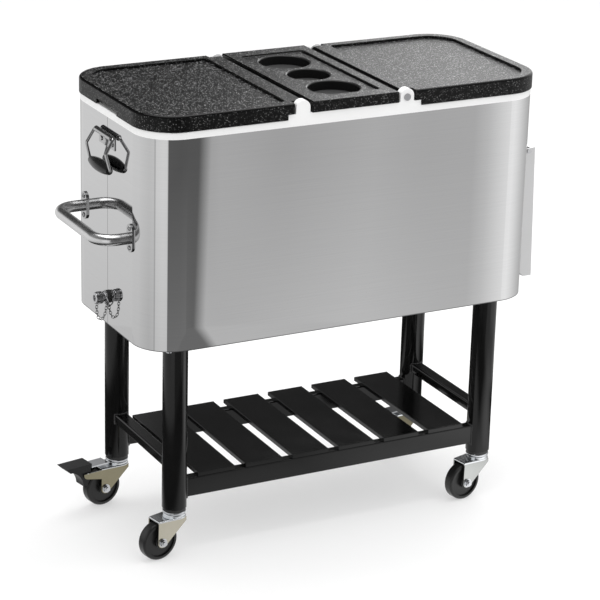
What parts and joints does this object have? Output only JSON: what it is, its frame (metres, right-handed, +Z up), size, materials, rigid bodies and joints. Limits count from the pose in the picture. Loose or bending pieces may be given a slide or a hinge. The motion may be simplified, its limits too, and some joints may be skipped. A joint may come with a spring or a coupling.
{
  "type": "beverage cooler cart",
  "caption": "Wheeled beverage cooler: insulated steel-clad tub with hinged lids, cup panel, push handle, drain and fold-down side shelf, on a slatted black stand with braked casters.",
  "frame": {"origin": "on the floor, under the centre of the whole cart's outline", "axes": "+Z up, +X along the tub from the push handle end to the side shelf end, -Y the front"},
  "size_m": [0.898, 0.3686, 0.855],
  "materials": {
    "stainless": "satin",
    "foam": "matte",
    "white_plastic": "satin",
    "grained_black": "matte",
    "pin_metal": "satin",
    "handle_steel": "polished",
    "grip_plastic": "gloss",
    "drain_metal": "satin",
    "seal_rubber": "matte",
    "shelf_steel": "satin",
    "black_paint": "gloss",
    "zinc": "satin",
    "insert_plastic": "satin",
    "wheel_rubber": "satin",
    "pedal_plastic": "satin"
  },
  "bodies": {
    "cart": {"steel_shell": "stainless", "base_pan": "stainless", "insulation_foam": "foam", "inner_liner": "white_plastic", "cup_panel": "grained_black", "hinge_pins": "pin_metal", "push_handle": "handle_steel", "push_handle_flanges": "handle_steel", "wall_screws": "handle_steel", "bail_bracket": "handle_steel", "bail_rivets": "handle_steel", "drain_spout": "drain_metal", "drain_lock_nut": "drain_metal", "drain_chain": "drain_metal", "drain_gasket": "seal_rubber", "shelf_brackets": "shelf_steel", "shelf_pivot_pins": "shelf_steel", "leg_plates": "black_paint", "front_rail": "black_paint", "back_rail": "black_paint", "left_rail": "black_paint", "right_rail": "black_paint", "slat_1": "black_paint", "slat_2": "black_paint", "slat_3": "black_paint", "slat_4": "black_paint", "slat_5": "black_paint", "slat_6": "black_paint", "leg_front_left": "black_paint", "leg_front_right": "black_paint", "leg_back_left": "black_paint", "leg_back_right": "black_paint", "leg_bolts": "zinc", "caster_stems": "zinc", "leg_inserts": "insert_plastic"},
    "left_lid": {"left_lid": "grained_black", "left_lid_liner": "white_plastic"},
    "right_lid": {"right_lid": "grained_black", "right_lid_liner": "white_plastic"},
    "bail": {"bail_wire": "handle_steel", "bail_grip": "grip_plastic"},
    "side_shelf": {"side_shelf": "shelf_steel"},
    "drain_ring": {"drain_cap_ring": "drain_metal"},
    "drain_cap": {"drain_cap": "drain_metal"},
    "fork_front_left": {"caster_fork_front_left": "zinc", "caster_axle_front_left": "zinc"},
    "wheel_front_left": {"caster_wheel_front_left": "wheel_rubber"},
    "fork_front_right": {"caster_fork_front_right": "zinc", "caster_axle_front_right": "zinc"},
    "wheel_front_right": {"caster_wheel_front_right": "wheel_rubber"},
    "fork_back_left": {"caster_fork_back_left": "zinc", "caster_axle_back_left": "zinc"},
    "wheel_back_left": {"caster_wheel_back_left": "wheel_rubber"},
    "fork_back_right": {"caster_fork_back_right": "zinc", "caster_axle_back_right": "zinc"},
    "wheel_back_right": {"caster_wheel_back_right": "wheel_rubber"},
    "brake_back_left": {"brake_pedal_back_left": "pedal_plastic", "brake_lever_back_left": "zinc"},
    "brake_back_right": {"brake_pedal_back_right": "pedal_plastic", "brake_lever_back_right": "zinc"}
  },
  "joints": [
    {"name": "left_lid_hinge", "type": "hinge", "parent": "cart", "child": "left_lid", "pos_m": [-0.084, 0, 0.839], "axis": [0, 1, 0], "range_deg": [0, 100]},
    {"name": "right_lid_hinge", "type": "hinge", "parent": "cart", "child": "right_lid", "pos_m": [0.126, 0, 0.839], "axis": [0, -1, 0], "range_deg": [0, 100]},
    {"name": "bail_swing", "type": "hinge", "parent": "cart", "child": "bail", "pos_m": [-0.3855, 0, 0.779], "axis": [0, 1, 0], "range_deg": [0, 150]},
    {"name": "shelf_fold", "type": "hinge", "parent": "cart", "child": "side_shelf", "pos_m": [0.428, 0, 0.689], "axis": [0, -1, 0], "range_deg": [0, 88]},
    {"name": "drain_cap_out", "type": "slide", "parent": "cart", "child": "drain_ring", "axis": [-1, 0, 0], "range_m": [0, 0.006]},
    {"name": "drain_cap_turn", "type": "hinge", "parent": "drain_ring", "child": "drain_cap", "pos_m": [-0.4008, 0, 0.4715], "axis": [-1, 0, 0], "range_deg": [0, 1080]},
    {"name": "swivel_front_left", "type": "hinge", "parent": "cart", "child": "fork_front_left", "pos_m": [-0.304, -0.132, 0.08], "axis": [0, 0, 1], "continuous": true},
    {"name": "wheel_spin_front_left", "type": "hinge", "parent": "fork_front_left", "child": "wheel_front_left", "pos_m": [-0.33945, -0.13825, 0.037], "axis": [-0.1736, 0.9848, 0], "continuous": true},
    {"name": "swivel_front_right", "type": "hinge", "parent": "cart", "child": "fork_front_right", "pos_m": [0.346, -0.132, 0.08], "axis": [0, 0, 1], "continuous": true},
    {"name": "wheel_spin_front_right", "type": "hinge", "parent": "fork_front_right", "child": "wheel_front_right", "pos_m": [0.31055, -0.13825, 0.037], "axis": [-0.1736, 0.9848, 0], "continuous": true},
    {"name": "swivel_back_left", "type": "hinge", "parent": "cart", "child": "fork_back_left", "pos_m": [-0.304, 0.132, 0.08], "axis": [0, 0, 1], "continuous": true},
    {"name": "wheel_spin_back_left", "type": "hinge", "parent": "fork_back_left", "child": "wheel_back_left", "pos_m": [-0.33945, 0.12575, 0.037], "axis": [-0.1736, 0.9848, 0], "continuous": true},
    {"name": "swivel_back_right", "type": "hinge", "parent": "cart", "child": "fork_back_right", "pos_m": [0.346, 0.132, 0.08], "axis": [0, 0, 1], "continuous": true},
    {"name": "wheel_spin_back_right", "type": "hinge", "parent": "fork_back_right", "child": "wheel_back_right", "pos_m": [0.31055, 0.12575, 0.037], "axis": [-0.1736, 0.9848, 0], "continuous": true},
    {"name": "brake_press_back_left", "type": "hinge", "parent": "fork_back_left", "child": "brake_back_left", "pos_m": [-0.37884, 0.1188, 0.075], "axis": [0.1736, -0.9848, 0], "range_deg": [0, 13]},
    {"name": "brake_press_back_right", "type": "hinge", "parent": "fork_back_right", "child": "brake_back_right", "pos_m": [0.27115, 0.1188, 0.075], "axis": [0.1736, -0.9848, 0], "range_deg": [0, 13]}
  ],
  "couplings": [
    {"joint": "drain_cap_out", "follows": "drain_cap_turn", "m_per_rad": 0.00031831}
  ]
}
